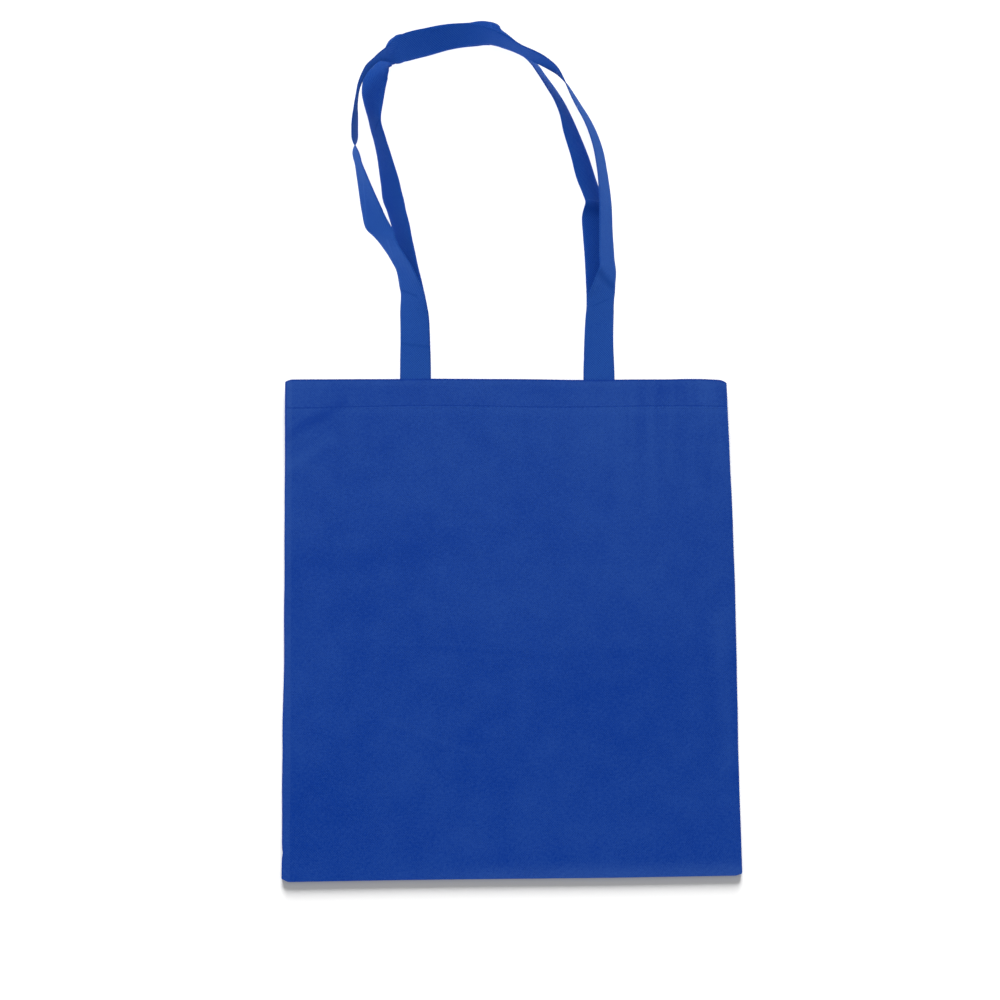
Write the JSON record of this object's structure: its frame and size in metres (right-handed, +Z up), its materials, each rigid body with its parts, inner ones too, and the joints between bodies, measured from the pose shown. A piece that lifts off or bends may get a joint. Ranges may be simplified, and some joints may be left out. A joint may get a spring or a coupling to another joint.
{
  "type": "shopping bag",
  "caption": "Flat non-woven fabric shopping bag with two long carrying handles, lying on its back panel.",
  "frame": {"origin": "middle of the back panel's resting face, on the floor plane", "axes": "+X to the right, +Y from the bottom fold towards the mouth and the handles, +Z up out of the front panel"},
  "size_m": [0.38, 0.7447, 0.0479],
  "materials": {
    "bag_fabric": "matt royal blue non-woven with a fine cross-hatch emboss",
    "handle_fabric": "matt royal blue non-woven, folded strip"
  },
  "bodies": {
    "root": {"bag_body": "bag_fabric", "front_handle": "handle_fabric", "back_handle": "handle_fabric"}
  },
  "joints": []
}
